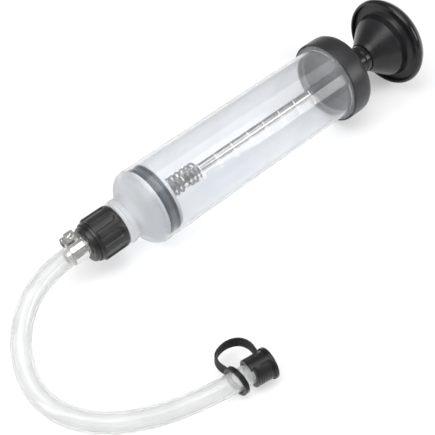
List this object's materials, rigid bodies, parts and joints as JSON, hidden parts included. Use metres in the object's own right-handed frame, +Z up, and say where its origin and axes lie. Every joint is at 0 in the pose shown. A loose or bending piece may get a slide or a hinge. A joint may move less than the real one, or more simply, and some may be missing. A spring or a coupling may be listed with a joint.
{
  "type": "hand vacuum pump",
  "caption": "Clear syringe-style hand pump with a mushroom knob plunger, a screwed-on barbed nozzle and a clear suction hose that ends in a tethered dust cap.",
  "frame": {"origin": "on the surface the pump lies on, under the middle of the pump without its hose", "axes": "+X from the nozzle towards the knob, +Z up; the pump's own axis climbs 1.7 degrees towards +X, because it rests on the barrel's front edge and the knob's rim"},
  "size_m": [0.4648, 0.2156, 0.082],
  "materials": {
    "frosted_barrel": "frosted clear polypropylene",
    "clear_vinyl": "clear flexible vinyl",
    "black_moulding": "satin black moulding",
    "black_gloss": "polished black",
    "pale_nylon": "natural nylon",
    "black_rubber": "matte",
    "bright_steel": "bright plated steel",
    "spring_steel": "drawn wire"
  },
  "bodies": {
    "barrel": {"barrel": "frosted_barrel", "end_cap": "black_moulding", "cap_gasket": "black_rubber", "rod_bushing": "black_gloss", "rod_seal": "black_rubber", "nozzle_flange": "black_moulding", "barb_tube": "bright_steel", "nozzle_gasket": "black_rubber", "clamp_band": "bright_steel", "clamp_nut": "bright_steel", "hose": "clear_vinyl", "tether_ring": "black_moulding", "tether_strap": "black_moulding"},
    "union_nut": {"union_nut": "black_moulding"},
    "clamp_screw": {"clamp_screw": "bright_steel"},
    "plunger": {"plunger_rod": "bright_steel", "piston_screw": "bright_steel", "piston_washer": "bright_steel", "piston_head": "pale_nylon", "piston_seal_front": "black_rubber", "piston_spacer": "pale_nylon", "piston_seal_rear": "black_rubber", "piston_back_plate": "pale_nylon", "piston_lock_nut": "bright_steel", "spring_seat": "bright_steel", "buffer_spring": "spring_steel", "knob_ferrule": "black_gloss", "knob_hub": "black_moulding", "knob_nut": "bright_steel", "knob_cover": "black_gloss"},
    "dust_cap": {"dust_cap": "black_moulding"}
  },
  "joints": [
    {"name": "plunger_slide", "type": "slide", "parent": "barrel", "child": "plunger", "axis": [0.9996, 0, 0.0297], "range_m": [0, 0.16]},
    {"name": "union_nut_turn", "type": "hinge", "parent": "barrel", "child": "union_nut", "pos_m": [-0.14853, 0, 0.0315], "axis": [-0.9996, 0, -0.0297], "range_deg": [0, 540]},
    {"name": "clamp_screw_turn", "type": "hinge", "parent": "barrel", "child": "clamp_screw", "pos_m": [-0.17874, 0.01032, 0.03784], "axis": [0.0244, 0.5736, -0.8188], "continuous": true},
    {"name": "dust_cap_pull", "type": "slide", "parent": "barrel", "child": "dust_cap", "axis": [0.9877, -0.1564, 0], "range_m": [0, 0.018]}
  ]
}
